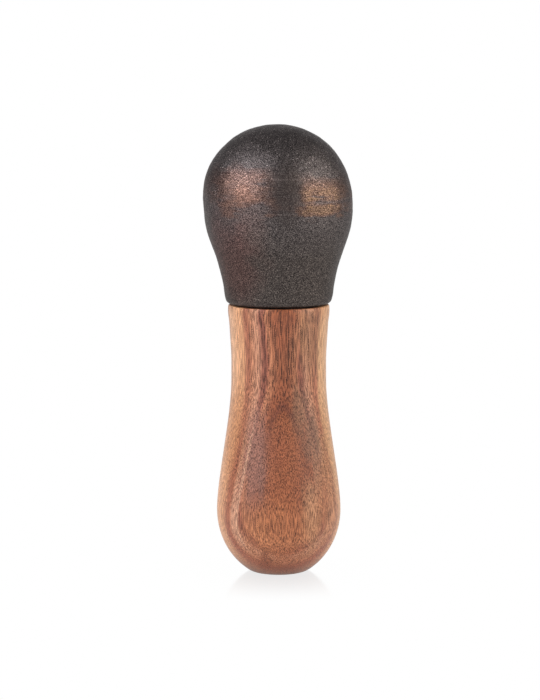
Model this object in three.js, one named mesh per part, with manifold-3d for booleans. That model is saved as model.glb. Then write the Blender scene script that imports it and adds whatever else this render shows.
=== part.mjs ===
// A pestle for a cast iron grinding bowl, standing on the butt of its handle.
// A solid cast iron head is screwed on a turned hardwood handle by a hidden steel stud, which runs
// from a tapped bore in the head down into a threaded insert in the end grain of the wood.
// A thin gasket lies between iron and wood. It is set back from both edges, so a dark line shows there.
// Millimetres, +Z up. The origin is the centre of the flat foot, and every piece is turned on +Z.

import * as THREE from "three";
import { mergeVertices } from "three/addons/utils/BufferGeometryUtils.js";
import Module from "manifold-3d";

// Handle: a flat foot, a full butt, a slim waist and a shoulder that flares a little under the head
const handleLength = 90.4;
const footDiameter = 18.4;
const footEdgeEase = 1.2;
const buttDiameter = 41.7;
const buttHeight = 21;
const waistDiameter = 31.8;
const waistHeight = 65.4;
const shoulderDiameter = 33.8;
const shoulderFlare = THREE.MathUtils.degToRad(3.5);
const shoulderEdgeRadius = 0.4;

// Head: a ball drawn down to a tapered neck with a rounded rim
const headHeight = 59.6;
const ballDiameter = 50.6;
const crownHeight = 25;
const neckDiameter = 35.6;
const neckTaper = THREE.MathUtils.degToRad(8);
const rimRadius = 2;

// How far each curve holds its end direction, as a share of the height that the curve spans.
// The crown's share is of its width too, and is a little fuller than the 0.552 of a true half ball.
const buttFullness = 0.24;
const waistFullnessBelow = 0.29;
const waistFullnessAbove = 0.41;
const shoulderFullness = 0.86;
const neckFullness = 0.59;
const ballFullness = 0.48;
const crownFullness = 0.565;

// Gasket
const gasketThickness = 0.4;
const gasketSetback = 0.6;

// Stud, threaded all along: M8 by 40, half of it in the head
const studDiameter = 8;
const studLength = 40;
const studInHead = 20;
const studChamfer = 1;

// Screw-in insert, sunk a little below the end grain, with a driver slot across its top
const insertDiameter = 16;
const insertLength = 18;
const insertSunk = 0.5;
const insertChamfer = 0.8;
const slotWidth = 2.5;
const slotDepth = 3;

// Bores
const threadGap = 0.15;
const boreRunout = 3;
const boreMouthChamfer = 1;
const drillPointAngle = THREE.MathUtils.degToRad(118);

// Facets: sides of every turned piece, and the longest step and fewest steps along a curved outline
const turnFacets = 64;
const longestStep = 3;
const fewestSteps = 4;

// Places and radii that pieces share
const seatHeight = handleLength + gasketThickness;
const studBottom = seatHeight + studInHead - studLength;
const insertFloor = handleLength - insertSunk - insertLength;
const boreRadius = studDiameter / 2 + threadGap;
const insertBoreRadius = insertDiameter / 2 + threadGap;
const drillPointHeight = boreRadius / Math.tan(drillPointAngle / 2);

const at = (radius, height) => new THREE.Vector2(radius, height);

// Joins points and curves, in order, into one list of outline points.
function outline(...stretches) {
  const points = stretches.flatMap((stretch) => {
    if (stretch.isVector2) return [stretch];
    return stretch.getPoints(Math.max(fewestSteps, Math.ceil(stretch.getLength() / longestStep)));
  });
  return points.filter((point, i) => i === 0 || !point.equals(points[i - 1]));
}

// Part of a circle about a centre in the outline's plane.
function round(centre, radius, fromAngle, toAngle) {
  return new THREE.EllipseCurve(centre.x, centre.y, radius, radius, fromAngle, toAngle);
}

// A curve that leaves its start and reaches its end along the given leans away from the axis.
// Each end holds its own direction for its share of the height.
function sweep(start, startLean, startShare, end, endLean, endShare) {
  const rise = end.y - start.y;
  const leave = at(start.x + Math.tan(startLean) * startShare * rise, start.y + startShare * rise);
  const arrive = at(end.x - Math.tan(endLean) * endShare * rise, end.y - endShare * rise);
  return new THREE.CubicBezierCurve(start, leave, arrive, end);
}

// A solid turned on +Z. Its outline goes up the outside, and starts and ends on the axis or closes on itself.
function turned(points) {
  return new THREE.LatheGeometry(points, turnFacets).rotateX(Math.PI / 2);
}

function handleOutline() {
  const foot = footDiameter / 2;
  const butt = at(buttDiameter / 2, buttHeight);
  const waist = at(waistDiameter / 2, waistHeight);
  const shoulder = shoulderDiameter / 2;

  // The end of the butt is part of an ellipse that the flat foot cuts off, with the corner there eased.
  const buttDrop = buttHeight / Math.sqrt(1 - (foot / butt.x) ** 2);
  const footAngle = -Math.asin(buttHeight / buttDrop) + footEdgeEase / butt.x;
  const buttEnd = new THREE.EllipseCurve(0, buttHeight, butt.x, buttDrop, footAngle, 0);
  const footEdge = new THREE.QuadraticBezierCurve(at(foot - footEdgeEase, 0), at(foot, 0), buttEnd.getPoint(0));

  const edgeCentre = at(
    shoulder - shoulderEdgeRadius * Math.cos(shoulderFlare),
    handleLength - shoulderEdgeRadius,
  );
  const edgeStart = at(shoulder, edgeCentre.y - shoulderEdgeRadius * Math.sin(shoulderFlare));

  const pilotFloor = studBottom - boreRunout;
  return outline(
    at(0, 0),
    footEdge,
    buttEnd,
    sweep(butt, 0, buttFullness, waist, 0, waistFullnessBelow),
    sweep(waist, 0, waistFullnessAbove, edgeStart, shoulderFlare, shoulderFullness),
    round(edgeCentre, shoulderEdgeRadius, -shoulderFlare, Math.PI / 2),
    at(insertBoreRadius, handleLength),
    at(insertBoreRadius, insertFloor),
    at(boreRadius, insertFloor),
    at(boreRadius, pilotFloor),
    at(0, pilotFloor - drillPointHeight),
  );
}

function headOutline() {
  const ball = ballDiameter / 2;
  const neck = neckDiameter / 2;
  const equator = at(ball, headHeight - crownHeight);
  const crown = new THREE.CubicBezierCurve(
    equator,
    at(ball, equator.y + crownFullness * crownHeight),
    at(crownFullness * ball, headHeight),
    at(0, headHeight),
  );
  const rimCentre = at(neck - rimRadius * Math.cos(neckTaper), rimRadius);
  const neckStart = at(neck, rimCentre.y - rimRadius * Math.sin(neckTaper));
  const boreDepth = studInHead + boreRunout;
  return outline(
    at(0, boreDepth + drillPointHeight),
    at(boreRadius, boreDepth),
    at(boreRadius, boreMouthChamfer),
    at(boreRadius + boreMouthChamfer, 0),
    round(rimCentre, rimRadius, -Math.PI / 2, -neckTaper),
    sweep(neckStart, neckTaper, neckFullness, equator, 0, ballFullness),
    crown,
  );
}

function gasketOutline() {
  const woodFlat = shoulderDiameter / 2 - shoulderEdgeRadius;
  const ironFlat = neckDiameter / 2 - rimRadius;
  const outside = Math.min(woodFlat, ironFlat) - gasketSetback;
  const inside = boreRadius + boreMouthChamfer;
  return outline(
    at(inside, 0),
    at(outside, 0),
    at(outside, gasketThickness),
    at(inside, gasketThickness),
    at(inside, 0),
  );
}

function studOutline() {
  const radius = studDiameter / 2;
  return outline(
    at(0, 0),
    at(radius - studChamfer, 0),
    at(radius, studChamfer),
    at(radius, studLength - studChamfer),
    at(radius - studChamfer, studLength),
    at(0, studLength),
  );
}

function insertOutline() {
  const outside = insertDiameter / 2;
  return outline(
    at(boreRadius, 0),
    at(outside - insertChamfer, 0),
    at(outside, insertChamfer),
    at(outside, insertLength - insertChamfer),
    at(outside - insertChamfer, insertLength),
    at(boreRadius, insertLength),
    at(boreRadius, 0),
  );
}

const wasm = await Module();
wasm.setup();

// A closed geometry as a solid that can be cut.
function solidOf(geometry) {
  const bare = geometry.clone();
  bare.deleteAttribute("normal");
  bare.deleteAttribute("uv");
  const merged = mergeVertices(bare);
  return new wasm.Manifold(
    new wasm.Mesh({
      numProp: 3,
      vertProperties: merged.attributes.position.array,
      triVerts: new Uint32Array(merged.index.array),
    }),
  );
}

function geometryOf(solid) {
  const mesh = solid.getMesh();
  const geometry = new THREE.BufferGeometry();
  geometry.setAttribute("position", new THREE.BufferAttribute(mesh.vertProperties, 3));
  geometry.setIndex(new THREE.BufferAttribute(mesh.triVerts, 1));
  geometry.computeVertexNormals();
  return geometry;
}

// The insert's driver slot runs right across its top, on both sides of the bore.
function slottedInsert() {
  const slot = new THREE.BoxGeometry(2 * insertDiameter, slotWidth, 2 * slotDepth);
  slot.translate(0, 0, insertLength);
  return geometryOf(solidOf(turned(insertOutline())).subtract(solidOf(slot)));
}

const castIron = new THREE.MeshStandardMaterial({ color: "#4a4643", roughness: 0.5, metalness: 0.9 });
const oiledAcacia = new THREE.MeshStandardMaterial({ color: "#a8704f", roughness: 0.45, metalness: 0 });
const blackRubber = new THREE.MeshStandardMaterial({ color: "#161514", roughness: 0.8, metalness: 0 });
const zincPlatedSteel = new THREE.MeshStandardMaterial({ color: "#b4b8bc", roughness: 0.35, metalness: 1 });
const brass = new THREE.MeshStandardMaterial({ color: "#b8964f", roughness: 0.35, metalness: 1 });

function piece(name, geometry, material, height) {
  const mesh = new THREE.Mesh(geometry, material);
  mesh.name = name;
  mesh.position.z = height;
  return mesh;
}

const pestle = new THREE.Group();
pestle.add(
  piece("wood_handle", turned(handleOutline()), oiledAcacia, 0),
  piece("threaded_insert", slottedInsert(), brass, insertFloor),
  piece("joint_gasket", turned(gasketOutline()), blackRubber, handleLength),
  piece("threaded_stud", turned(studOutline()), zincPlatedSteel, studBottom),
  piece("iron_head", turned(headOutline()), castIron, seatHeight),
);

export default pestle;
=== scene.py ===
"""The looks of a pestle: a sand-cast iron head on a turned acacia handle, standing in a white studio."""

import math

import bpy
import numpy as np
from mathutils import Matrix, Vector, noise


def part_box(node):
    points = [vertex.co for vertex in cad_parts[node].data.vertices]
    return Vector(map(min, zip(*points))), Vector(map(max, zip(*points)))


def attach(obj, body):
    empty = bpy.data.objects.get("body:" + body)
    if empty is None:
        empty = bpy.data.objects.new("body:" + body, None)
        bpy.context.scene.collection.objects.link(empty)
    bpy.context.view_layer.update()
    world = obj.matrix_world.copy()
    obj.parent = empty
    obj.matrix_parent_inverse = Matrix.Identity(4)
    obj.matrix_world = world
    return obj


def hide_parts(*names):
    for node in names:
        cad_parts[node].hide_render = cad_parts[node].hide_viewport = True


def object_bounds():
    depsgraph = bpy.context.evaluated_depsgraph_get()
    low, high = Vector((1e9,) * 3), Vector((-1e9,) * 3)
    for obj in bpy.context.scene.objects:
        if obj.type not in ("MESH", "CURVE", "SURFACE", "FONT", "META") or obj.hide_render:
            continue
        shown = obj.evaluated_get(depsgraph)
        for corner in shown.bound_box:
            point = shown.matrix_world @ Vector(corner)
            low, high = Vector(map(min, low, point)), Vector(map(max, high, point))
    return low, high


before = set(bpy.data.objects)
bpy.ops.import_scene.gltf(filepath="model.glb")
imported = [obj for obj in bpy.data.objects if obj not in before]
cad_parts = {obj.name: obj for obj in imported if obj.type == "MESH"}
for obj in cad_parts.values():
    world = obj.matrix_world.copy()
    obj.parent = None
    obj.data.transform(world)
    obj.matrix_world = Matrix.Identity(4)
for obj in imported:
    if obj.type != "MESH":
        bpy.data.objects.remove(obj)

cad_low, cad_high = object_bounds()

MM = 0.001  # lengths below are in millimetres, and Blender's are in metres
TAU = 2 * math.pi

# Casting: the solid is the envelope of the casting, whose skin lies a little inside it at the ball.
# The two halves of the mould met below the equator, off to the left of the bore. The upper one was further
# off and leaned, so the crown is furthest left. The flash was linished off in a belt above the parting line.
SKIN_INSIDE = 0.42
LOWER_SHIFT = -0.12
UPPER_SHIFT = -0.38
CROWN_SHIFT = -0.66
PARTING_BELOW_EQUATOR = 2.8
BELT_HEIGHT = 11.0

# Heights between which each shift comes in, above the seat, the parting line and the equator in turn
LOWER_SHIFT_OVER = (6.0, 24.0)
UPPER_SHIFT_OVER = (-1.2, 3.8)
CROWN_SHIFT_OVER = (2.0, 7.5)

# Skin: the height and spacing of its lumps, the groove at the parting line, and the plain seat round the bore
LUMPS = ((0.09, 5.0), (0.05, 1.7))
GROOVE_DEPTH = 0.04
GROOVE_HALF_WIDTH = 0.5
PLAIN_ROUND_BORE = 4.0

# Wood: the growth layers face the front, turned a little to the right, with the pith behind the handle.
# They bow away from the front below the waist and a little above it, kink above the butt, and sway.
# Below the waist they are further apart, those towards the bark most.
LAYER_TURN = math.radians(4.6)
LAYERS_FACE = (math.sin(LAYER_TURN), -math.cos(LAYER_TURN), 0)
PITH_BEHIND = 45.0
DARK_LAYER_DEPTH = 14.66
BOW_HEIGHT = 60.0
BOW_BELOW = 0.0016
BOW_ABOVE = 0.001
KINK = 0.5
KINK_OVER = (22.0, 36.0)
SWAY = 0.15
BARK_SIDE_OPENING = 0.0015
PITH_SIDE_OPENING = 0.0004

# Grain: it leans out of the front all the way up, and more so between the butt and the waist.
# Between the belly and the waist, fibres come to show more strongly and vessels to be wider.
GRAIN_LEAN = 0.05
GRAIN_RUN_OUT = 6.0
RUN_OUT_OVER = (20.0, 70.0)
WAIST_OVER = (56.0, 70.0)

# Threads: pitch and depth of the stud's and of the insert's wood thread, the chamfers at their ends,
# and the insert's driver slot
STUD_PITCH = 1.25
STUD_THREAD_DEPTH = 0.75
STUD_CHAMFER = 1.0
INSERT_PITCH = 3.0
INSERT_THREAD_DEPTH = 1.6
INSERT_CHAMFER = 0.8
SLOT_WIDTH = 2.5
SLOT_DEPTH = 3.0
OVERCUT = 1.0

# Meshes: longest steps along an outline, sides round the axis, and the angle from which an edge stays sharp
HEAD_STEP = 0.42
HEAD_SIDES = 400
HANDLE_STEP = 0.8
HANDLE_SIDES = 192
GASKET_SIDES = 128
THREAD_SIDES = 64
SHARP_EDGE = math.radians(35)

# Studio: half the table's side, and the gap that keeps its top clear of the foot
TABLE_HALF = 4000.0
TABLE_BELOW_FOOT = 0.01


def share_between(value, start, end):
    """How far a value has come from start to end, from 0 to 1."""
    return min(1.0, max(0.0, (value - start) / (end - start)))


def linear(code):
    """The linear colour of an sRGB hex code."""
    shares = [int(code[i : i + 2], 16) / 255 for i in (1, 3, 5)]
    return [s / 12.92 if s <= 0.04045 else ((s + 0.055) / 1.055) ** 2.4 for s in shares] + [1.0]


def add(tree, kind, inputs, out=0, stops=None, **settings):
    """Adds a shader node with its settings, values and links, and gives one of its outputs.

    An input is a value or another node's output. stops are the places and colours of a colour ramp.
    """
    made = tree.nodes.new("ShaderNode" + kind)
    for name, value in settings.items():
        setattr(made, name, value)
    for name, value in inputs.items():
        if isinstance(value, bpy.types.NodeSocket):
            tree.links.new(value, made.inputs[name])
        else:
            made.inputs[name].default_value = value
    if stops:
        while len(made.color_ramp.elements) < len(stops):
            made.color_ramp.elements.new(1.0)
        for element, (place, code) in zip(made.color_ramp.elements, stops):
            element.position = place
            element.color = linear(code)
    return made.outputs[out] if made.outputs else made


def blank_material(name):
    """A material with no nodes, and its node tree."""
    material = bpy.data.materials.new(name)
    material.use_nodes = True
    material.node_tree.nodes.clear()
    return material, material.node_tree


def millimetres(tree):
    """Where a point of the surface is, in millimetres."""
    metres = add(tree, "TexCoord", {}, out="Object")
    return add(tree, "VectorMath", {0: metres, "Scale": 1 / MM}, operation="SCALE")


def distance_from(tree, place, centre, reach):
    """How far a point is from a centre, as a share of the reach along each axis."""
    away = add(tree, "VectorMath", {0: place, 1: centre}, operation="SUBTRACT")
    away = add(tree, "VectorMath", {0: away, 1: reach}, operation="DIVIDE")
    return add(tree, "VectorMath", {0: away}, out="Value", operation="LENGTH")


def smear(tree, place, ragged, centre, reach):
    """How strongly a soft patch covers a point: 1 within half its reach, and 0 well past it.

    ragged moves the patch's edge in and out.
    """
    away = distance_from(tree, place, centre, reach)
    away = add(tree, "Math", {0: away, 1: ragged}, operation="ADD")
    return add(
        tree, "MapRange",
        {"Value": away, "From Min": 0.5, "From Max": 1.8, "To Min": 1.0, "To Max": 0.0},
        interpolation_type="SMOOTHSTEP",
    )


def linished_film(tree, place, patches, ragged, parting):
    """The coloured film on the linished belt, in fine streaks round the ball.

    Gives how thick the film is, how far it has turned from copper to straw, and how worn the front is.
    """
    across = add(tree, "SeparateXYZ", {0: place}, out="X")
    height = add(tree, "SeparateXYZ", {0: place}, out="Z")
    streak_height, streak_length = 1.2, 10.0
    flatter = streak_height / streak_length
    round_place = add(tree, "VectorMath", {0: place, 1: (flatter, flatter, 1.0)}, operation="MULTIPLY")
    streaks = add(
        tree, "TexNoise",
        {"Vector": round_place, "Scale": 1 / streak_height, "Detail": 4.0, "Roughness": 0.7},
    )

    # Both edges are soft and wander with the patches and streaks, and the upper one is lower on the right
    lower_edge = parting + 1.2
    upper_edge = lower_edge + BELT_HEIGHT
    lower_softness, upper_softness = 3.0, 3.6
    wandering = height
    for field, reach in ((patches, 6.0), (streaks, 5.0)):
        wander = add(tree, "MapRange", {"Value": field, "To Min": -reach, "To Max": reach})
        wandering = add(tree, "Math", {0: wandering, 1: wander}, operation="ADD")
    dip = add(
        tree, "MapRange",
        {"Value": across, "From Min": -8.0, "From Max": 9.0, "To Min": -0.7, "To Max": 3.2},
    )
    dipped = add(tree, "Math", {0: wandering, 1: dip}, operation="ADD")
    rising = add(
        tree, "MapRange",
        {"Value": wandering,
         "From Min": lower_edge - lower_softness, "From Max": lower_edge + lower_softness},
        interpolation_type="SMOOTHSTEP",
    )
    falling = add(
        tree, "MapRange",
        {"Value": dipped, "From Min": upper_edge - upper_softness, "From Max": upper_edge + upper_softness,
         "To Min": 1.0, "To Max": 0.0},
        interpolation_type="SMOOTHSTEP",
    )
    film = add(tree, "Math", {0: patches, 1: streaks}, operation="ADD")
    film = add(tree, "MapRange", {"Value": film, "From Min": 0.70, "From Max": 1.15})
    for within in (rising, falling):
        film = add(tree, "Math", {0: film, 1: within}, operation="MULTIPLY")

    # It is worn off in front and rubbed off the lower edge left of that, a scratch runs through it round the
    # right, and it fades towards the left and right sides as a painted shade that dims the rims
    to_straw = add(tree, "MapRange", {"Value": across, "From Min": -8.0, "From Max": 12.0})
    worn = smear(tree, place, ragged, (2.2, -25.0, parting + 6.4), (4.4, 6.0, 9.0))
    rubbed = smear(tree, place, ragged, (-6.4, -24.0, parting + 1.2), (4.8, 8.0, 1.9))
    scratch_height = parting + 3.2
    from_scratch = add(tree, "Math", {0: height, 1: scratch_height}, operation="SUBTRACT")
    from_scratch = add(tree, "Math", {0: from_scratch}, operation="ABSOLUTE")
    scratch = add(
        tree, "MapRange",
        {"Value": from_scratch, "From Min": 0.2, "From Max": 0.8, "To Min": 0.8, "To Max": 0.0},
    )
    scratch = add(tree, "Math", {0: scratch, 1: to_straw}, operation="MULTIPLY")
    # Towards the left and right sides the film fades: a painted shade of the rims
    belt_middle = 0.3
    rim_shade = add(tree, "Math", {0: across, 1: belt_middle}, operation="SUBTRACT")
    rim_shade = add(tree, "Math", {0: rim_shade}, operation="ABSOLUTE")
    rim_shade = add(tree, "MapRange", {"Value": rim_shade, "From Min": 17.0, "From Max": 23.0, "To Max": 0.9})
    for bare in (worn, rubbed, scratch, rim_shade):
        left = add(tree, "Math", {0: bare, 1: -0.9, 2: 1.0}, operation="MULTIPLY_ADD")
        film = add(tree, "Math", {0: film, 1: left}, operation="MULTIPLY")

    # A band just above the parting line on the right kept its film
    band = smear(tree, place, ragged, (13.5, -20.0, parting + 0.6), (6.0, 8.0, 1.4))
    band = add(tree, "Math", {0: band, 1: 0.66}, operation="MULTIPLY")
    film = add(tree, "Math", {0: film, 1: band}, operation="MAXIMUM")
    return film, to_straw, worn


def seasoned_skin(tree, place, speck, ragged, parting):
    """The colour of the skin under the film: grey, darker and browner down the neck as a painted shade, rusty
    on the left.
    """
    skin = add(
        tree, "ValToRGB", {"Fac": speck},
        stops=[(0.50, "#2d2a2c"), (0.75, "#4f494b"), (1.00, "#817978")],
    )
    height = add(tree, "SeparateXYZ", {0: place}, out="Z")
    # Down the neck the skin is painted darker and browner: a painted shade of the lower ball and neck
    unshaded_above, shaded_below = parting + 4.0, parting - 16.0
    neck_shade = add(tree, "MapRange", {"Value": height, "From Min": unshaded_above, "From Max": shaded_below})
    oiled = add(
        tree, "VectorMath", {0: skin, 1: (0.70, 0.67, 0.61), 2: linear("#100e0d")[:3]},
        operation="MULTIPLY_ADD",
    )
    skin = add(tree, "Mix", {0: neck_shade, 6: skin, 7: oiled}, out=2, data_type="RGBA")
    for centre, reach, tint in (
        ((-14.0, -12.0, parting - 14.6), (8.0, 9.0, 13.0), (1.2, 0.89, 0.88)),  # red, down the neck
        ((-8.5, -21.0, parting - 5.1), (4.2, 6.0, 6.6), (1.32, 1.15, 1.11)),  # paler, below the belt
    ):
        rust = smear(tree, place, ragged, centre, reach)
        rusty = add(tree, "VectorMath", {0: skin, 1: tint}, operation="MULTIPLY")
        skin = add(tree, "Mix", {0: rust, 6: skin, 7: rusty}, out=2, data_type="RGBA")
    return skin


def sand_cast_iron(equator):
    """Grey iron cast in green sand, brushed and seasoned with oil.

    Every grain of the sand leaves a facet of its own, so the skin glitters. The seasoning is nearly black,
    and a film from copper to straw shows where the parting flash was linished off round the equator.
    """
    material, tree = blank_material("sand_cast_iron_seasoned")
    place = millimetres(tree)
    height = add(tree, "SeparateXYZ", {0: place}, out="Z")
    parting = equator - PARTING_BELOW_EQUATOR

    # Sand as fine as for such castings, about 0.15 mm, wouldn't show, so all its grains are drawn coarser
    grain_size, facet_size, speck_size, sparkle_size = 0.2, 0.25, 0.22, 0.29
    patch_size = 8.0
    grain = add(tree, "TexNoise", {"Vector": place, "Scale": 1 / grain_size, "Detail": 1.0, "Roughness": 0.6})
    facets = add(tree, "TexVoronoi", {"Vector": place, "Scale": 1 / facet_size}, out="Color")
    facets = add(tree, "SeparateXYZ", {0: facets}, out="X")
    speck = add(tree, "TexNoise", {"Vector": place, "Scale": 1 / speck_size, "Detail": 0.0})
    speck = add(tree, "MapRange", {"Value": speck, "To Min": -0.67, "To Max": 1.93}, clamp=False)
    speck = add(tree, "Math", {0: facets, 1: 0.18, 2: speck}, operation="MULTIPLY_ADD")
    patches = add(
        tree, "TexNoise", {"Vector": place, "Scale": 1 / patch_size, "Detail": 4.0, "Roughness": 0.6}
    )
    ragged = add(tree, "MapRange", {"Value": patches, "To Min": -0.6, "To Max": 0.6})

    # The film is copper on the left and straw on the right, and brown where it is thin
    film, to_straw, worn = linished_film(tree, place, patches, ragged, parting)
    skin = seasoned_skin(tree, place, speck, ragged, parting)
    copper = add(
        tree, "ValToRGB", {"Fac": speck},
        stops=[(0.50, "#412d28"), (0.75, "#6c524a"), (1.00, "#9b796c")],
    )
    straw = add(
        tree, "ValToRGB", {"Fac": speck},
        stops=[(0.50, "#47342a"), (0.75, "#755a46"), (1.00, "#ae8a6d")],
    )
    tint = add(tree, "Mix", {0: to_straw, 6: copper, 7: straw}, out=2, data_type="RGBA")
    brown = add(tree, "VectorMath", {0: tint, 1: (1.05, 0.72, 0.56)}, operation="MULTIPLY")
    thick = add(tree, "MapRange", {"Value": film, "From Min": 0.2, "From Max": 0.7})
    tint = add(tree, "Mix", {0: thick, 6: brown, 7: tint}, out=2, data_type="RGBA")
    colour = add(tree, "Mix", {0: film, 6: skin, 7: tint}, out=2, data_type="RGBA")

    # Where the film is worn away the iron is smooth and dark, and the belt's edges show as fine pale lines
    smooth = add(tree, "Math", {0: worn, 1: 0.5}, operation="MULTIPLY")
    colour = add(tree, "Mix", {0: smooth, 6: colour, 7: linear("#463e3b")}, out=2, data_type="RGBA")
    for line_height in (parting - 0.5, parting + BELT_HEIGHT - 0.3):
        from_line = add(tree, "Math", {0: height, 1: line_height}, operation="SUBTRACT")
        from_line = add(tree, "Math", {0: from_line}, operation="ABSOLUTE")
        line = add(
            tree, "MapRange",
            {"Value": from_line, "From Min": 0.1, "From Max": 0.4, "To Min": 0.6, "To Max": 0.0},
        )
        line = add(tree, "Math", {0: line, 1: worn}, operation="MULTIPLY")
        pale = add(tree, "VectorMath", {0: colour, "Scale": 1.8}, operation="SCALE")
        colour = add(tree, "Mix", {0: line, 6: colour, 7: pale}, out=2, data_type="RGBA")

    # One grain in ten is bare, and those up on the crown are the brightest
    sparkle = add(tree, "TexVoronoi", {"Vector": place, "Scale": 1 / sparkle_size}, out="Color")
    sparkle = add(tree, "SeparateXYZ", {0: sparkle}, out="Y")
    brightest = add(
        tree, "MapRange",
        {"Value": height, "From Min": parting, "From Max": parting + 15.0, "To Min": 0.45, "To Max": 1.0},
    )
    sparkle = add(
        tree, "MapRange", {"Value": sparkle, "From Min": 0.9, "From Max": 0.98, "To Max": brightest}
    )
    unworn = add(tree, "Math", {0: worn, 1: -0.7, 2: 1.0}, operation="MULTIPLY_ADD")
    sparkle = add(tree, "Math", {0: sparkle, 1: unworn}, operation="MULTIPLY")
    bright = add(tree, "VectorMath", {0: colour, "Scale": 3.0}, operation="SCALE")
    colour = add(tree, "Mix", {0: sparkle, 6: colour, 7: bright}, out=2, data_type="RGBA")

    # The linished belt is smoother. Seen edge on, the grains hide one another, so the rim's tint is duller.
    bump = add(tree, "Bump", {"Strength": 1.0, "Distance": 0.03 * MM, "Height": grain})
    rough = add(tree, "MapRange", {"Value": film, "To Min": 0.5, "To Max": 0.36})
    surface = add(
        tree, "BsdfPrincipled",
        {"Base Color": colour, "Metallic": 1.0, "Roughness": rough, "Normal": bump,
         "Specular Tint": linear("#e2e2e2")},
    )
    add(tree, "OutputMaterial", {"Surface": surface})
    return material


def grain_place(tree, place, height):
    """Where a point would be if the grain ran straight up the handle."""
    run_out = add(
        tree, "MapRange",
        {"Value": height, "From Min": RUN_OUT_OVER[0], "From Max": RUN_OUT_OVER[1], "To Max": -GRAIN_RUN_OUT},
        interpolation_type="SMOOTHSTEP",
    )
    lean = add(tree, "Math", {0: height, 1: -GRAIN_LEAN, 2: run_out}, operation="MULTIPLY_ADD")
    shift = add(tree, "VectorMath", {0: LAYERS_FACE, "Scale": lean}, operation="SCALE")
    return add(tree, "VectorMath", {0: place, 1: shift}, operation="ADD")


def layer_depth(tree, place, height, streaks):
    """How far a point is from the dark growth layer: above 0 towards the bark, below 0 to the pith."""
    from_bow = add(tree, "Math", {0: height, 1: BOW_HEIGHT}, operation="SUBTRACT")
    above = add(tree, "Math", {0: from_bow, 1: 0.0}, operation="MAXIMUM")
    below = add(tree, "Math", {0: from_bow, 1: 0.0}, operation="MINIMUM")
    above = add(tree, "Math", {0: above, 1: above}, operation="MULTIPLY")
    below = add(tree, "Math", {0: below, 1: below}, operation="MULTIPLY")
    sway_width, sway_length = 7.0, 28.0
    slow = add(tree, "VectorMath", {0: place, 1: (1, 1, sway_width / sway_length)}, operation="MULTIPLY")
    sway = add(tree, "TexNoise", {"Vector": slow, "Scale": 1 / sway_width, "Detail": 2.0})
    sway = add(tree, "MapRange", {"Value": sway, "To Min": -SWAY, "To Max": SWAY})
    kink = add(
        tree, "MapRange",
        {"Value": height, "From Min": KINK_OVER[0], "From Max": KINK_OVER[1], "To Max": -KINK},
        interpolation_type="SMOOTHSTEP",
    )
    bend = add(tree, "Math", {0: sway, 1: kink}, operation="ADD")
    bend = add(tree, "Math", {0: below, 1: -BOW_BELOW, 2: bend}, operation="MULTIPLY_ADD")
    bend = add(tree, "Math", {0: above, 1: -BOW_ABOVE, 2: bend}, operation="MULTIPLY_ADD")
    shift = add(tree, "VectorMath", {0: LAYERS_FACE, "Scale": bend}, operation="SCALE")
    straight = add(tree, "VectorMath", {0: place, 1: shift}, operation="ADD")

    # Layers by their distance from the pith, feathered by the streaks
    flat = add(tree, "VectorMath", {0: straight, 1: (1, 1, 0)}, operation="MULTIPLY")
    pith = tuple(-PITH_BEHIND * f for f in LAYERS_FACE)
    radius = add(tree, "VectorMath", {0: flat, 1: pith}, out="Value", operation="DISTANCE")
    layer = add(tree, "Math", {0: radius, 1: PITH_BEHIND + DARK_LAYER_DEPTH}, operation="SUBTRACT")
    layer = add(tree, "Math", {0: streaks, 1: 0.12, 2: layer}, operation="MULTIPLY_ADD")
    sides = []
    for pick, opening in (("MAXIMUM", BARK_SIDE_OPENING), ("MINIMUM", PITH_SIDE_OPENING)):
        side = add(tree, "Math", {0: layer, 1: 0.0}, operation=pick)
        apart = add(tree, "Math", {0: below, 1: opening, 2: 1.0}, operation="MULTIPLY_ADD")
        sides.append(add(tree, "Math", {0: side, 1: apart}, operation="DIVIDE"))
    return add(tree, "Math", {0: sides[0], 1: sides[1]}, operation="ADD")


def layer_tones(tree, layer):
    """The colour of each growth layer, with the fine rings in it."""
    tones = (
        (-36.0, "#b07a52"), (-27.0, "#a56f4b"), (-20.0, "#cf9f72"), (-14.5, "#8a5744"),  # the back and sides
        (-9.0, "#d4a581"), (-4.0, "#cb956e"),  # the pale edges of the front
        (-3.0, "#a2664c"), (-2.4, "#995c43"), (-1.8, "#ad7355"), (-0.8, "#b58166"),  # red-brown, then tan
        (-0.35, "#8c513f"), (0.0, "#864a38"), (0.25, "#a86d4e"),  # the dark layer and the line inside it
        (0.7, "#884d32"), (1.2, "#85492d"), (3.2, "#b07251"),  # the middle, deep red and then orange
    )
    low, high = tones[0][0], 4.0
    share = add(tree, "MapRange", {"Value": layer, "From Min": low, "From Max": high})
    tone = add(
        tree, "ValToRGB", {"Fac": share},
        stops=[((depth - low) / (high - low), code) for depth, code in tones],
    )
    ring_width = 0.5
    rings = add(
        tree, "TexNoise", {"W": layer, "Scale": 1 / ring_width, "Detail": 3.0, "Roughness": 0.7},
        noise_dimensions="1D",
    )
    rings = add(
        tree, "MapRange",
        {"Value": rings, "From Min": 0.25, "From Max": 0.75, "To Min": 0.72, "To Max": 1.28},
    )
    return add(tree, "VectorMath", {0: tone, "Scale": rings}, operation="SCALE")


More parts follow.
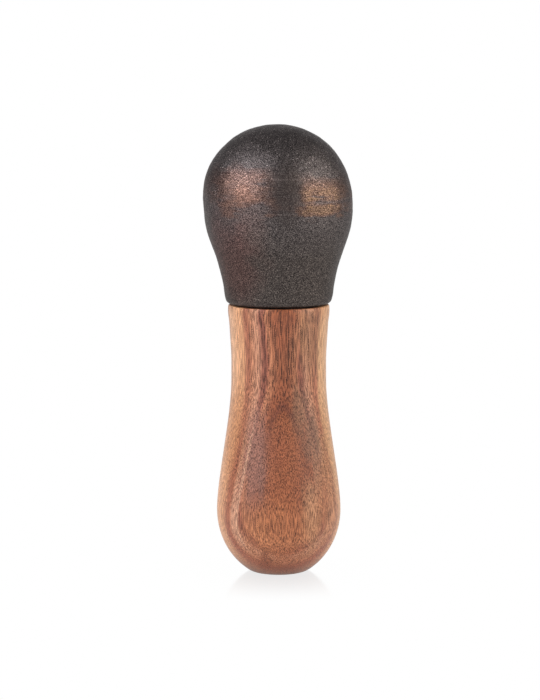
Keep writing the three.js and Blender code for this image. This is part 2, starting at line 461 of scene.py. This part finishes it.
def mineral_stains(tree, place, ragged, tone):
    """Adds the stains, each with its centre, its reach, its colour and its strength."""
    for centre, reach, code, strength in (
        ((-8.2, -17.0, 41.0), (3.6, 7.0, 14.0), "#8e6052", 0.8),  # purple-grey, left of the inner oval
        ((-5.8, -19.0, 34.0), (0.9, 5.0, 7.0), "#7c5448", 0.5),  # a dark line in that
        # This tan darkens the left edge, where the lamps light it more: a painted shade
        ((-15.0, -9.0, 48.0), (4.0, 6.0, 14.0), "#b2784f", 0.6),  # tan, at the left edge
        ((6.5, -15.5, 57.0), (2.2, 7.0, 7.0), "#7c5a44", 0.65),  # grey-brown, down the right of the oval
        ((10.9, -14.0, 48.0), (2.3, 7.0, 6.6), "#785440", 0.75),  # more of it
        ((-0.6, -18.0, 44.5), (3.2, 7.0, 6.0), "#7c4530", 0.6),  # deep red, in the oval
        ((13.6, -13.0, 37.0), (1.8, 6.0, 8.0), "#82604a", 0.6),  # grey-brown, further down
        ((8.0, -14.0, 84.0), (1.2, 5.0, 7.0), "#b5835e", 0.6),  # a pale line under the head
        ((-18.6, -8.0, 23.0), (1.7, 6.0, 12.0), "#d0976f", 0.45),  # pale, at the left edge of the butt
        ((10.8, -17.6, 21.0), (2.6, 7.0, 10.0), "#b58562", 0.7),  # pale, in the butt's right half
        ((6.3, -19.5, 21.0), (0.5, 4.0, 7.0), "#7a4634", 0.6),  # a dark line left of that
        ((11.0, -13.0, 80.0), (5.0, 8.0, 10.0), "#906446", 0.65),  # brown, on the right under the head
        ((2.4, -15.5, 72.0), (2.8, 6.0, 6.0), "#7d4529", 0.4),  # deep red, in the waist
        ((18.0, -5.0, 60.0), (4.0, 7.0, 40.0), "#b98e64", 0.6),  # tan, up the whole right edge
        ((14.8, -7.5, 72.0), (1.5, 5.0, 12.0), "#d0a47a", 0.65),  # the palest of that, at the waist
        ((-1.0, -20.0, 16.0), (9.0, 8.0, 9.0), "#b4744c", 0.7),  # orange, across the butt
        ((-4.6, -15.0, 6.4), (1.9, 6.0, 2.8), "#7a4129", 0.65),  # a dark red spot above the foot
        ((15.5, -12.0, 28.0), (3.0, 6.0, 11.0), "#a66e4b", 0.7),  # red-brown, at the butt's right
    ):
        stain = smear(tree, place, ragged, centre, reach)
        stain = add(tree, "Math", {0: stain, 1: strength}, operation="MULTIPLY")
        tone = add(tree, "Mix", {0: stain, 6: tone, 7: linear(code)}, out=2, data_type="RGBA")
    return tone


def inner_oval(tree, place, height, ragged, tone):
    """Adds the innermost layer, a long orange oval with a dark arch for its upper end."""
    oval = distance_from(tree, place, (1.5, -20.0, 30.0), (6.5, 14.0, 28.5))
    oval = add(tree, "Math", {0: ragged, 1: 0.08, 2: oval}, operation="MULTIPLY_ADD")
    inside = add(
        tree, "MapRange", {"Value": oval, "From Min": 0.85, "From Max": 1.0, "To Min": 0.3, "To Max": 0.0}
    )
    tone = add(tree, "Mix", {0: inside, 6: tone, 7: linear("#9c5a3a")}, out=2, data_type="RGBA")
    arch = add(tree, "Math", {0: oval, 1: 1.02}, operation="SUBTRACT")
    arch = add(tree, "Math", {0: arch}, operation="ABSOLUTE")
    arch = add(
        tree, "MapRange", {"Value": arch, "From Min": 0.0, "From Max": 0.09, "To Min": 0.7, "To Max": 0.0}
    )
    arch_foot, arch_top = 44.0, 56.0
    upper_end = add(tree, "MapRange", {"Value": height, "From Min": arch_foot, "From Max": arch_top})
    arch = add(tree, "Math", {0: arch, 1: upper_end}, operation="MULTIPLY")
    return add(tree, "Mix", {0: arch, 6: tone, 7: linear("#67372a")}, out=2, data_type="RGBA")


def pale_streak_and_highlight(tree, place, height, ragged, tone):
    """Adds the pale streak that runs down the left of the belly and curves in under the butt: paler wood,
    with a painted highlight of the left softbox along it.

    Gives the new colour, and how strongly the streak covers a point.
    """
    # Its middle goes straight down and left to the butt, where it eases into a vertical, and then inwards
    butt_height, easing = 21.0, 3.0
    slope, left_of_axis = 0.21, 14.8
    under_height, under_curve = 19.0, 0.048
    wander = 0.6
    up = add(tree, "Math", {0: height, 1: butt_height}, operation="SUBTRACT")
    up = add(tree, "Math", {0: up, 1: 0.0}, operation="MAXIMUM")
    up = add(tree, "Math", {0: up, 1: up, 2: easing ** 2}, operation="MULTIPLY_ADD")
    up = add(tree, "Math", {0: up}, operation="SQRT")
    curve = add(tree, "Math", {0: up, 1: slope, 2: -left_of_axis}, operation="MULTIPLY_ADD")
    under = add(tree, "Math", {0: under_height, 1: height}, operation="SUBTRACT")
    under = add(tree, "Math", {0: under, 1: 0.0}, operation="MAXIMUM")
    under = add(tree, "Math", {0: under, 1: under}, operation="MULTIPLY")
    curve = add(tree, "Math", {0: under, 1: under_curve, 2: curve}, operation="MULTIPLY_ADD")
    curve = add(tree, "Math", {0: ragged, 1: wander, 2: curve}, operation="MULTIPLY_ADD")
    across = add(tree, "SeparateXYZ", {0: place}, out="X")
    beside = add(tree, "Math", {0: across, 1: curve}, operation="SUBTRACT")
    forward = add(tree, "SeparateXYZ", {0: place}, out="Y")
    in_front = add(tree, "MapRange", {"Value": forward, "From Min": -6.0, "From Max": -10.0})

    # Lines along it, each with its place beside the middle, its half width and the heights of its ends
    upper_fade, lower_fade = 16.0, 8.0
    lines = []
    for beside_middle, half_width, lower_end, upper_end, code, strength in (
        # The streak itself is paler wood, and partly a painted highlight of the left softbox
        (-0.7, 1.9, 8.0, 24.0, "#c39278", 0.65),  # the streak itself
        # This brighter line is a painted highlight of the left softbox
        (0.1, 0.8, 6.0, 44.0, "#cc9d81", 0.55),  # a brighter line in its right side
        (1.2, 0.9, 32.0, 44.0, "#7c5145", 0.7),  # a dark line right of it, above the belly
        (-2.9, 1.1, 3.0, 44.0, "#93533b", 0.75),  # a red line left of it
    ):
        off = add(tree, "Math", {0: beside, 1: beside_middle}, operation="SUBTRACT")
        off = add(tree, "Math", {0: off}, operation="ABSOLUTE")
        line = add(
            tree, "MapRange",
            {"Value": off, "From Min": 0.2 * half_width, "From Max": half_width,
             "To Min": strength, "To Max": 0.0},
            interpolation_type="SMOOTHSTEP",
        )
        below_end = add(
            tree, "MapRange",
            {"Value": height, "From Min": upper_end, "From Max": upper_end + upper_fade,
             "To Min": 1.0, "To Max": 0.0},
        )
        above_end = add(
            tree, "MapRange", {"Value": height, "From Min": lower_end, "From Max": lower_end + lower_fade}
        )
        for kept in (in_front, below_end, above_end):
            line = add(tree, "Math", {0: line, 1: kept}, operation="MULTIPLY")
        tone = add(tree, "Mix", {0: line, 6: tone, 7: linear(code)}, out=2, data_type="RGBA")
        lines.append(line)
    return tone, lines[0]


def end_grain_and_foot_shadow(tree, height, tone):
    """Darkens the butt, whose end grain drinks more oil, and most of all the foot's edge, partly old oil and
    partly a painted contact shadow.
    """
    # The darker second step, strongest where the foot meets the table, is partly a painted contact shadow
    for top, strength, code in ((12.5, 0.6, "#9b4f28"), (8.0, 0.5, "#592c14")):
        soak_and_shadow = add(
            tree, "MapRange",
            {"Value": height, "From Min": 0.0, "From Max": top, "To Min": strength, "To Max": 0.0},
            interpolation_type="SMOOTHSTEP",
        )
        tone = add(tree, "Mix", {0: soak_and_shadow, 6: tone, 7: linear(code)}, out=2, data_type="RGBA")
    return tone


def fibre_shades(tree, height, fibres, streaks, flecks, pale, tone):
    """Makes the colour lighter and darker by fibre, streak and fleck, less so in the pale layers."""
    fibre_share = add(
        tree, "MapRange",
        {"Value": height, "From Min": WAIST_OVER[0], "From Max": WAIST_OVER[1], "To Min": 1.4, "To Max": 1.6},
    )
    shade = 0.0
    for field, share in ((fibres, fibre_share), (streaks, 0.22), (flecks, 0.6)):
        about_middle = add(tree, "Math", {0: field, 1: 0.5}, operation="SUBTRACT")
        shade = add(tree, "Math", {0: about_middle, 1: share, 2: shade}, operation="MULTIPLY_ADD")
    shade = add(tree, "MapRange", {"Value": shade, "From Min": -0.255, "From Max": 0.245})
    calm = add(tree, "Math", {0: pale, 1: 0.2}, operation="MULTIPLY")
    shade = add(tree, "Mix", {0: calm, 2: shade, 3: 0.5})
    darker = add(tree, "VectorMath", {0: tone, 1: (0.47, 0.40, 0.37)}, operation="MULTIPLY")
    lighter = add(tree, "VectorMath", {0: tone, "Scale": 1.47}, operation="SCALE")
    return add(tree, "Mix", {0: shade, 6: darker, 7: lighter}, out=2, data_type="RGBA")


def open_vessels(tree, grain, height, streaks, flecks, layer, plain_wood):
    """How far a point lies in a vessel that the surface cuts open, from 0 to 1.

    They are dashes along the grain, shorter and thinner in the butt and longer above the waist. From the
    waist up, the layers from the dark one outwards have wider ones, and plain wood has narrower ones.
    """
    # Real vessels are 0.1 to 0.2 mm wide, too fine to show, so these are about 0.25 mm
    spacing, length = 0.43, 12.0
    butt_top, butt_middle = 32.0, 18.0
    longer = add(tree, "Math", {0: height, 1: BOW_HEIGHT}, operation="SUBTRACT")
    longer = add(tree, "Math", {0: longer, 1: 0.0}, operation="MAXIMUM")
    shorter = add(tree, "Math", {0: height, 1: butt_top}, operation="SUBTRACT")
    shorter = add(tree, "Math", {0: shorter, 1: 0.0}, operation="MINIMUM")
    stretch = add(tree, "Math", {0: longer, 1: -0.3, 2: shorter}, operation="MULTIPLY_ADD")
    stretch = add(tree, "CombineXYZ", {"Z": stretch})
    vessel_place = add(tree, "VectorMath", {0: grain, 1: stretch}, operation="ADD")
    vessel_place = add(
        tree, "VectorMath", {0: vessel_place, 1: (1 / spacing, 1 / spacing, 1 / length)}, operation="MULTIPLY"
    )
    vessel = add(tree, "TexVoronoi", {"Vector": vessel_place, "Scale": 1.0}, out="Distance")

    # What is added to the distance from a vessel's middle narrows it, and what is taken off widens it.
    # Flecks do both by turns, which breaks it up.
    for field, share in [(streaks, 0.06)] + [(plain, 0.12) for plain in plain_wood]:
        vessel = add(tree, "Math", {0: field, 1: share, 2: vessel}, operation="MULTIPLY_ADD")
    broken = add(tree, "MapRange", {"Value": flecks, "To Min": -0.24, "To Max": 0.24})
    widest = add(
        tree, "MapRange", {"Value": layer, "From Min": -0.5, "From Max": 0.5, "To Min": 0.0, "To Max": -0.06}
    )
    wider = add(
        tree, "MapRange",
        {"Value": height, "From Min": WAIST_OVER[0], "From Max": WAIST_OVER[1], "To Max": widest},
    )
    thin = add(
        tree, "MapRange",
        {"Value": height, "From Min": butt_top, "From Max": butt_middle, "To Max": 0.035},
    )
    for change in (broken, wider, thin):
        vessel = add(tree, "Math", {0: vessel, 1: change}, operation="ADD")
    return add(
        tree, "MapRange",
        {"Value": vessel, "From Min": 0.27, "From Max": 0.32, "To Min": 1.0, "To Max": 0.0},
    )


def oiled_acacia():
    """Acacia heartwood, turned between centres, sanded and oiled to a satin finish.

    Orange-brown and purple-brown growth layers show as nested ovals where the turned form cuts them,
    and open vessels as dark dashes along the grain and dots where the surface runs across it.
    """
    material, tree = blank_material("turned_acacia_oiled")
    place = millimetres(tree)
    height = add(tree, "SeparateXYZ", {0: place}, out="Z")

    # Fibres are about 0.02 mm wide, and flecks of soft tissue not much wider. Neither would show, so bundles
    # of fibres and clusters of flecks are drawn instead.
    fibre_width, fibre_length, fleck_size, streak_width = 0.22, 4.0, 0.22, 2.0
    grain = grain_place(tree, place, height)
    along = add(tree, "VectorMath", {0: grain, 1: (1, 1, fibre_width / fibre_length)}, operation="MULTIPLY")
    fibres = add(tree, "TexNoise", {"Vector": along, "Scale": 1 / fibre_width, "Detail": 0.0})
    flecks = add(tree, "TexNoise", {"Vector": place, "Scale": 1 / fleck_size, "Detail": 0.0})
    streaks = add(
        tree, "TexNoise", {"Vector": along, "Scale": 1 / streak_width, "Detail": 3.0, "Roughness": 0.6}
    )
    ragged = add(tree, "MapRange", {"Value": streaks, "To Min": -0.8, "To Max": 0.8})

    layer = layer_depth(tree, place, height, streaks)
    tone = layer_tones(tree, layer)
    tone = mineral_stains(tree, place, ragged, tone)
    tone = inner_oval(tree, place, height, ragged, tone)
    tone, pale_band_and_highlight = pale_streak_and_highlight(tree, place, height, ragged, tone)
    tone = end_grain_and_foot_shadow(tree, height, tone)
    pale = add(tree, "MapRange", {"Value": layer, "From Min": -1.5, "From Max": -4.0})
    tone = fibre_shades(tree, height, fibres, streaks, flecks, pale, tone)

    # Vessels are dark with old oil, a little less so below the waist
    pore = open_vessels(tree, grain, height, streaks, flecks, layer, (pale, pale_band_and_highlight))
    belly_top, waist = 46.0, 62.0
    darkness = add(
        tree, "MapRange",
        {"Value": height, "From Min": belly_top, "From Max": waist, "To Min": 0.8, "To Max": 0.95},
    )
    dark = add(tree, "Math", {0: pore, 1: darkness}, operation="MULTIPLY")
    colour = add(tree, "Mix", {0: dark, 6: tone, 7: linear("#32160e")}, out=2, data_type="RGBA")

    relief = add(tree, "Math", {0: pore, 1: -1.0, 2: fibres}, operation="MULTIPLY_ADD")
    bump = add(tree, "Bump", {"Strength": 0.6, "Distance": 0.04 * MM, "Height": relief})
    rough = add(tree, "MapRange", {"Value": pore, "To Min": 0.42, "To Max": 0.75})
    surface = add(
        tree, "BsdfPrincipled",
        {"Base Color": colour, "Roughness": rough, "IOR": 1.5, "Normal": bump},
    )
    add(tree, "OutputMaterial", {"Surface": surface})
    return material


def black_rubber():
    """Nitrile rubber, die cut from sheet: matt black, with a faint dusty mottle."""
    material, tree = blank_material("die_cut_nitrile_rubber")
    place = millimetres(tree)
    mottle_size = 1.5
    dust = add(tree, "TexNoise", {"Vector": place, "Scale": 1 / mottle_size, "Detail": 3.0})
    colour = add(tree, "ValToRGB", {"Fac": dust}, stops=[(0.35, "#0d0d0d"), (0.7, "#1c1b1a")])
    surface = add(tree, "BsdfPrincipled", {"Base Color": colour, "Roughness": 0.75})
    add(tree, "OutputMaterial", {"Surface": surface})
    return material


def zinc_plated_steel():
    """Rolled steel thread with bright zinc plate: pale, with a slight blue cloudiness."""
    material, tree = blank_material("zinc_plated_rolled_steel")
    place = millimetres(tree)
    cloud_size = 4.0
    cloud = add(tree, "TexNoise", {"Vector": place, "Scale": 1 / cloud_size, "Detail": 3.0})
    colour = add(tree, "ValToRGB", {"Fac": cloud}, stops=[(0.3, "#a9b0b8"), (0.7, "#c9ccd0")])
    surface = add(tree, "BsdfPrincipled", {"Base Color": colour, "Metallic": 1.0, "Roughness": 0.3})
    add(tree, "OutputMaterial", {"Surface": surface})
    return material


def turned_brass():
    """Free-cutting brass, turned on a lathe: yellow, with fine rings round the axis."""
    material, tree = blank_material("turned_brass")
    place = millimetres(tree)
    ring_width, ring_length = 0.15, 3.0
    flatter = ring_width / ring_length
    ring_place = add(tree, "VectorMath", {0: place, 1: (flatter, flatter, 1)}, operation="MULTIPLY")
    rings = add(tree, "TexNoise", {"Vector": ring_place, "Scale": 1 / ring_width, "Detail": 2.0})
    colour = add(tree, "ValToRGB", {"Fac": rings}, stops=[(0.35, "#a8843f"), (0.65, "#cdaa62")])
    surface = add(tree, "BsdfPrincipled", {"Base Color": colour, "Metallic": 1.0, "Roughness": 0.32})
    add(tree, "OutputMaterial", {"Surface": surface})
    return material


def white_floor():
    """A glossy white table: white to the eye, with a faint short reflection of what stands on it."""
    material, tree = blank_material("glossy_white_table")
    place = millimetres(tree)
    from_foot = add(tree, "VectorMath", {0: place}, out="Value", operation="LENGTH")
    gloss = add(
        tree, "MapRange",
        {"Value": from_foot, "From Min": 8.0, "From Max": 50.0, "To Min": 0.22, "To Max": 0.0},
        interpolation_type="SMOOTHSTEP",
    )
    mirror = add(tree, "BsdfGlossy", {"Color": (1, 1, 1, 1), "Roughness": 0.12})
    white = add(tree, "Emission", {"Color": (1, 1, 1, 1), "Strength": 1.0})
    seen = add(tree, "MixShader", {0: gloss, 1: white, 2: mirror})
    lit = add(tree, "BsdfDiffuse", {"Color": linear("#e8e8e8")})
    shown = add(tree, "LightPath", {}, out="Is Camera Ray")
    for kind in ("Is Glossy Ray", "Is Transmission Ray"):
        ray = add(tree, "LightPath", {}, out=kind)
        shown = add(tree, "Math", {0: shown, 1: ray}, operation="MAXIMUM")
    surface = add(tree, "MixShader", {0: shown, 1: lit, 2: seen})
    add(tree, "OutputMaterial", {"Surface": surface})
    return material


def section(node, mouth_up):
    """The half section of a turned node as (radius, height) points, in millimetres.

    Gives the points up its outside, and those of its bore from the mouth inwards.
    """
    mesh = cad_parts[node].data
    front = {}
    for v in mesh.vertices:
        x, y, z = (round(c / MM, 3) for c in v.co)
        if x == 0 and y <= 0:
            front[v.index] = (-y, z)
    links = {point: set() for point in front.values()}
    for edge in mesh.edges:
        a, b = (front.get(i) for i in edge.vertices)
        if a and b and a[1] != b[1]:
            links[a].add(b)
            links[b].add(a)

    # The outside is what is linked to the widest point, since flat ends link nothing
    outside = set()
    reached = {max(links)}
    while reached:
        outside |= reached
        reached = {b for a in reached for b in links[a]} - outside
    outer = sorted(outside, key=lambda point: point[1])
    inwards = -1 if mouth_up else 1
    bore = sorted(set(links) - outside, key=lambda point: (inwards * point[1], -point[0]))
    return outer, bore


def smoothed(points, step):
    """A smooth curve through points, in steps no longer than step and at least two between neighbours."""
    p = np.array(points, float)
    chord = np.linalg.norm(np.diff(p, axis=0), axis=1)
    slope = np.diff(p, axis=0) / chord[:, None]

    # The tangent at a point is the mean of the slopes on its two sides, by the length of the other side
    chord_before = np.concatenate([[chord[0]], chord])[:, None]
    chord_after = np.concatenate([chord, [chord[-1]]])[:, None]
    slope_before = np.vstack([2 * slope[0] - slope[1], slope])
    slope_after = np.vstack([slope, 2 * slope[-1] - slope[-2]])
    tangent = (slope_before * chord_after + slope_after * chord_before) / (chord_before + chord_after)
    made = []
    for i, length in enumerate(chord):
        count = max(2, math.ceil(length / step))
        for t in np.arange(count) / count:
            start = (1 + 2 * t) * (1 - t) ** 2 * p[i] + t * (1 - t) ** 2 * length * tangent[i]
            end = t * t * (3 - 2 * t) * p[i + 1] + t * t * (t - 1) * length * tangent[i + 1]
            made.append(tuple(start + end))
    return made + [tuple(p[-1])]


def stacked(start, end, step):
    """Points in a straight line between two points of an outline, both of them included."""
    count = max(1, math.ceil(math.dist(start, end) / step))
    return [tuple(np.array(start) + (np.array(end) - start) * i / count) for i in range(count + 1)]


def turned_piece(name, outline, sides, material, node, displace=None):
    """A closed mesh turned on the axis from an outline in millimetres, in place of a node of the frame.

    The outline starts and ends on the axis, or ends at its own start.
    """
    angles = np.arange(sides) / sides * TAU
    points, faces, rings = [], [], []
    closed = outline[0] == outline[-1]
    for radius, height in outline[:-1] if closed else outline:
        if radius < 1e-6:
            rings.append([len(points)] * sides)
            points.append((0.0, 0.0, height))
        else:
            rings.append(range(len(points), len(points) + sides))
            points.extend((radius * math.sin(a), -radius * math.cos(a), height) for a in angles)
    if closed:
        rings.append(rings[0])
    for below, above in zip(rings, rings[1:]):
        for i in range(sides):
            j = (i + 1) % sides
            corners = (below[i], below[j], above[j], above[i])
            faces.append(tuple(dict.fromkeys(corners)))
    if displace:
        points = [displace(Vector(p)) for p in points]
    mesh = bpy.data.meshes.new(name)
    mesh.from_pydata([Vector(p) * MM for p in points], [], faces)
    mesh.shade_smooth()
    mesh.set_sharp_from_angle(angle=SHARP_EDGE)
    mesh.materials.append(material)
    piece = bpy.data.objects.new(name, mesh)
    bpy.context.scene.collection.objects.link(piece)
    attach(piece, "root")
    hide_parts(node)
    return piece


def cast_head():
    """The iron head with the unevenness of its casting."""
    outer, bore = section("iron_head", mouth_up=False)
    seat, crown = outer[0][1], outer[-1][1]
    ball, equator = max(outer)
    parting = equator - PARTING_BELOW_EQUATOR
    plain = bore[0][0] + PLAIN_ROUND_BORE
    curve = smoothed(outer, HEAD_STEP)
    curve[-1] = (0.0, crown)
    outline = bore[::-1] + curve

    def uneven(point):
        """Moves a point of the skin as the mould's sand and its two halves left it."""
        out = Vector((point.x, point.y, 0.0))
        if out.length < plain and point.z < equator:
            return point
        away = (point - Vector((0, 0, min(point.z, equator)))).normalized()
        lumps = sum(rise * noise.noise(point / spacing) for rise, spacing in LUMPS)
        groove = -GROOVE_DEPTH * math.exp(-(((point.z - parting) / GROOVE_HALF_WIDTH) ** 2))
        lower = share_between(point.z - seat, *LOWER_SHIFT_OVER)
        upper = share_between(point.z - parting, *UPPER_SHIFT_OVER)
        top = share_between(point.z - equator, *CROWN_SHIFT_OVER)
        shift = LOWER_SHIFT * lower + (UPPER_SHIFT - LOWER_SHIFT) * upper
        shift += (CROWN_SHIFT - UPPER_SHIFT) * top
        inside = SKIN_INSIDE * lower * out / ball
        return point + away * (lumps + groove) - inside + Vector((shift, 0, 0))

    return turned_piece(
        "cast_head", outline, HEAD_SIDES, sand_cast_iron(equator), "iron_head", uneven
    )


def turned_handle():
    """The acacia handle, with its bored end."""
    outer, bore = section("wood_handle", mouth_up=True)
    outline = [(0.0, 0.0)] + smoothed(outer, HANDLE_STEP) + bore
    return turned_piece("turned_handle", outline, HANDLE_SIDES, oiled_acacia(), "wood_handle")


def ring_sizes(node):
    """The bore's radius, the outer radius, the bottom and the top of a ring or rod, in millimetres."""
    low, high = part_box(node)
    radii = [math.hypot(v.co.x, v.co.y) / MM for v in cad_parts[node].data.vertices]
    return min(radii), max(radii), low.z / MM, high.z / MM


def gasket_ring():
    """The rubber gasket, its outer edge pressed a little round."""
    inside, outside, bottom, top = ring_sizes("joint_gasket")
    half = (top - bottom) / 2
    edge = [
        (outside - half + half * math.cos(a), bottom + half + half * math.sin(a))
        for a in np.linspace(-math.pi / 2, math.pi / 2, 9)
    ]
    outline = [(inside, bottom)] + edge + [(inside, top), (inside, bottom)]
    return turned_piece("gasket_ring", outline, GASKET_SIDES, black_rubber(), "joint_gasket")


def thread(point, radius, pitch, depth):
    """Cuts a right-hand thread into a point at the outside radius of a rod."""
    out = math.hypot(point.x, point.y)
    if out < 1e-6:
        return point
    turn = math.atan2(point.y, point.x) / TAU
    along = (point.z / pitch - turn) % 1.0
    flank_slope, crest = 1.3, 0.15  # the flanks are steep enough to leave a flat crest and a flat root
    root = min(1.0, max(0.0, flank_slope * abs(2 * along - 1) - crest))
    kept = min(out, radius - depth * root)
    return Vector((point.x * kept / out, point.y * kept / out, point.z))


def rolled_stud():
    """The steel stud with its rolled thread."""
    _, radius, bottom, top = ring_sizes("threaded_stud")
    end_radius = radius - STUD_CHAMFER
    core = (
        (end_radius, bottom), (radius, bottom + STUD_CHAMFER),
        (radius, top - STUD_CHAMFER), (end_radius, top),
    )
    outline = [(0.0, bottom), core[0]]
    for start, end in zip(core, core[1:]):
        outline += stacked(start, end, STUD_PITCH / 8)[1:]
    outline.append((0.0, top))
    return turned_piece(
        "rolled_stud", outline, THREAD_SIDES, zinc_plated_steel(), "threaded_stud",
        lambda point: thread(point, radius, STUD_PITCH, STUD_THREAD_DEPTH),
    )


def slotted_insert():
    """The brass insert with its coarse wood thread and driver slot."""
    inside, outside, bottom, top = ring_sizes("threaded_insert")
    end_radius = outside - INSERT_CHAMFER
    rim = (
        (end_radius, bottom), (outside, bottom + INSERT_CHAMFER),
        (outside, top - INSERT_CHAMFER), (end_radius, top),
    )
    outline = [(inside, bottom), rim[0]]
    for start, end in zip(rim, rim[1:]):
        outline += stacked(start, end, INSERT_PITCH / 12)[1:]
    outline += [(inside, top), (inside, bottom)]

    def wood_thread(point):
        """Cuts the thread into the outside, and leaves the bore as it is."""
        if math.hypot(point.x, point.y) < outside - INSERT_THREAD_DEPTH:
            return point
        return thread(point, outside, INSERT_PITCH, INSERT_THREAD_DEPTH)

    piece = turned_piece(
        "slotted_insert", outline, THREAD_SIDES, turned_brass(), "threaded_insert", wood_thread
    )

    # The slot is cut right across the top
    half = SLOT_WIDTH / 2
    reach = outside + OVERCUT
    floor = ((-reach, -half), (reach, -half), (reach, half), (-reach, half))
    corners = [(x, y, z) for z in (top - SLOT_DEPTH, top + OVERCUT) for x, y in floor]
    sides = [(3, 2, 1, 0), (4, 5, 6, 7), (0, 1, 5, 4), (1, 2, 6, 5), (2, 3, 7, 6), (3, 0, 4, 7)]
    cutter_mesh = bpy.data.meshes.new("slot_cutter")
    cutter_mesh.from_pydata([Vector(c) * MM for c in corners], [], sides)
    cutter = bpy.data.objects.new("slot_cutter", cutter_mesh)
    bpy.context.scene.collection.objects.link(cutter)
    cut = piece.modifiers.new("slot", "BOOLEAN")
    cut.operation = "DIFFERENCE"
    cut.object = cutter
    slotted = bpy.data.meshes.new_from_object(piece.evaluated_get(bpy.context.evaluated_depsgraph_get()))
    piece.modifiers.remove(cut)
    piece.data = slotted
    bpy.data.objects.remove(cutter)
    return piece


def softbox(name, colour, azimuth, elevation, distance, width, height, radiance):
    """A soft light that faces the pestle. Azimuth is in degrees from the front, to the right."""
    lamp = bpy.data.lights.new(name, "AREA")
    lamp.color = linear(colour)[:3]
    lamp.shape = "RECTANGLE"
    lamp.size = width * MM
    lamp.size_y = height * MM
    lamp.energy = radiance * math.pi * lamp.size * lamp.size_y
    stand = bpy.data.objects.new(name, lamp)
    a, e = math.radians(azimuth), math.radians(elevation)
    away = Vector((math.sin(a) * math.cos(e), -math.cos(a) * math.cos(e), math.sin(e)))
    middle = (cad_low + cad_high) / 2
    stand.location = middle + away * distance * MM
    stand.rotation_euler = away.to_track_quat("Z", "Y").to_euler()
    bpy.context.scene.collection.objects.link(stand)


def studio():
    """The white table, the white backdrop under a dim ceiling, and two soft lights."""
    mesh = bpy.data.meshes.new("table")
    half = TABLE_HALF * MM
    corners = [(-half, -half, 0), (half, -half, 0), (half, half, 0), (-half, half, 0)]
    mesh.from_pydata(corners, [], [(0, 1, 2, 3)])
    mesh.materials.append(white_floor())
    table = bpy.data.objects.new("table", mesh)
    table.location.z = -TABLE_BELOW_FOOT * MM
    bpy.context.scene.collection.objects.link(table)

    # The room is white to the eye, but in the pestle's gloss only the backdrop is bright and the rest dim
    world = bpy.data.worlds.new("white_studio")
    world.use_nodes = True
    tree = world.node_tree
    tree.nodes.clear()
    towards = add(tree, "TexCoord", {}, out="Generated")
    behind = add(tree, "SeparateXYZ", {0: towards}, out="Y")
    above = add(tree, "SeparateXYZ", {0: towards}, out="Z")
    backdrop = add(
        tree, "MapRange",
        {"Value": behind, "From Min": 0.7, "From Max": 1.0, "To Min": 0.2, "To Max": 1.0},
        interpolation_type="SMOOTHSTEP",
    )
    ceiling = add(
        tree, "MapRange",
        {"Value": above, "From Min": 0.35, "From Max": 0.75, "To Min": 1.0, "To Max": 1.2},
        interpolation_type="SMOOTHSTEP",
    )
    reflected = add(tree, "Math", {0: backdrop, 1: ceiling}, operation="MULTIPLY")
    glossy = add(tree, "LightPath", {}, out="Is Glossy Ray")
    clear = add(tree, "LightPath", {}, out="Is Transmission Ray")
    shiny = add(tree, "Math", {0: glossy, 1: clear}, operation="MAXIMUM")
    fill = add(tree, "Mix", {0: shiny, 2: 0.4, 3: reflected})
    seen = add(tree, "LightPath", {}, out="Is Camera Ray")
    level = add(tree, "Mix", {0: seen, 2: fill, 3: 1.0})
    light = add(tree, "Background", {"Color": (1, 1, 1, 1), "Strength": level})
    add(tree, "OutputWorld", {"Surface": light})
    bpy.context.scene.world = world

    softbox("left_softbox", "#ffffff", -53, 32, distance=900, width=1000, height=850, radiance=2.8)
    softbox("right_softbox", "#fffaf0", 70, 24, distance=900, width=1000, height=800, radiance=2.3)


def camera():
    """The photograph's view: a long lens a little above the pestle, which stands right of the middle."""
    distance, height, aim = 832.6, 179.1, 75.0
    pixels_per_mm = 3.007
    frame_height = 700
    right_of_middle = 8.75
    lens = bpy.data.cameras.new("camera")
    lens.sensor_width = 36.0
    lens.lens = pixels_per_mm * distance / frame_height * lens.sensor_width
    lens.shift_x = -right_of_middle / frame_height
    lens.clip_start = 0.05
    eye = bpy.data.objects.new("camera", lens)
    eye.location = Vector((0, -distance, height)) * MM
    eye.rotation_euler = (Vector((0, 0, aim)) * MM - eye.location).to_track_quat("-Z", "Y").to_euler()
    bpy.context.scene.collection.objects.link(eye)
    bpy.context.scene.camera = eye


camera()
studio()
cast_head()
turned_handle()
gasket_ring()
rolled_stud()
slotted_insert()

bpy.context.scene.view_settings.view_transform = "Standard"
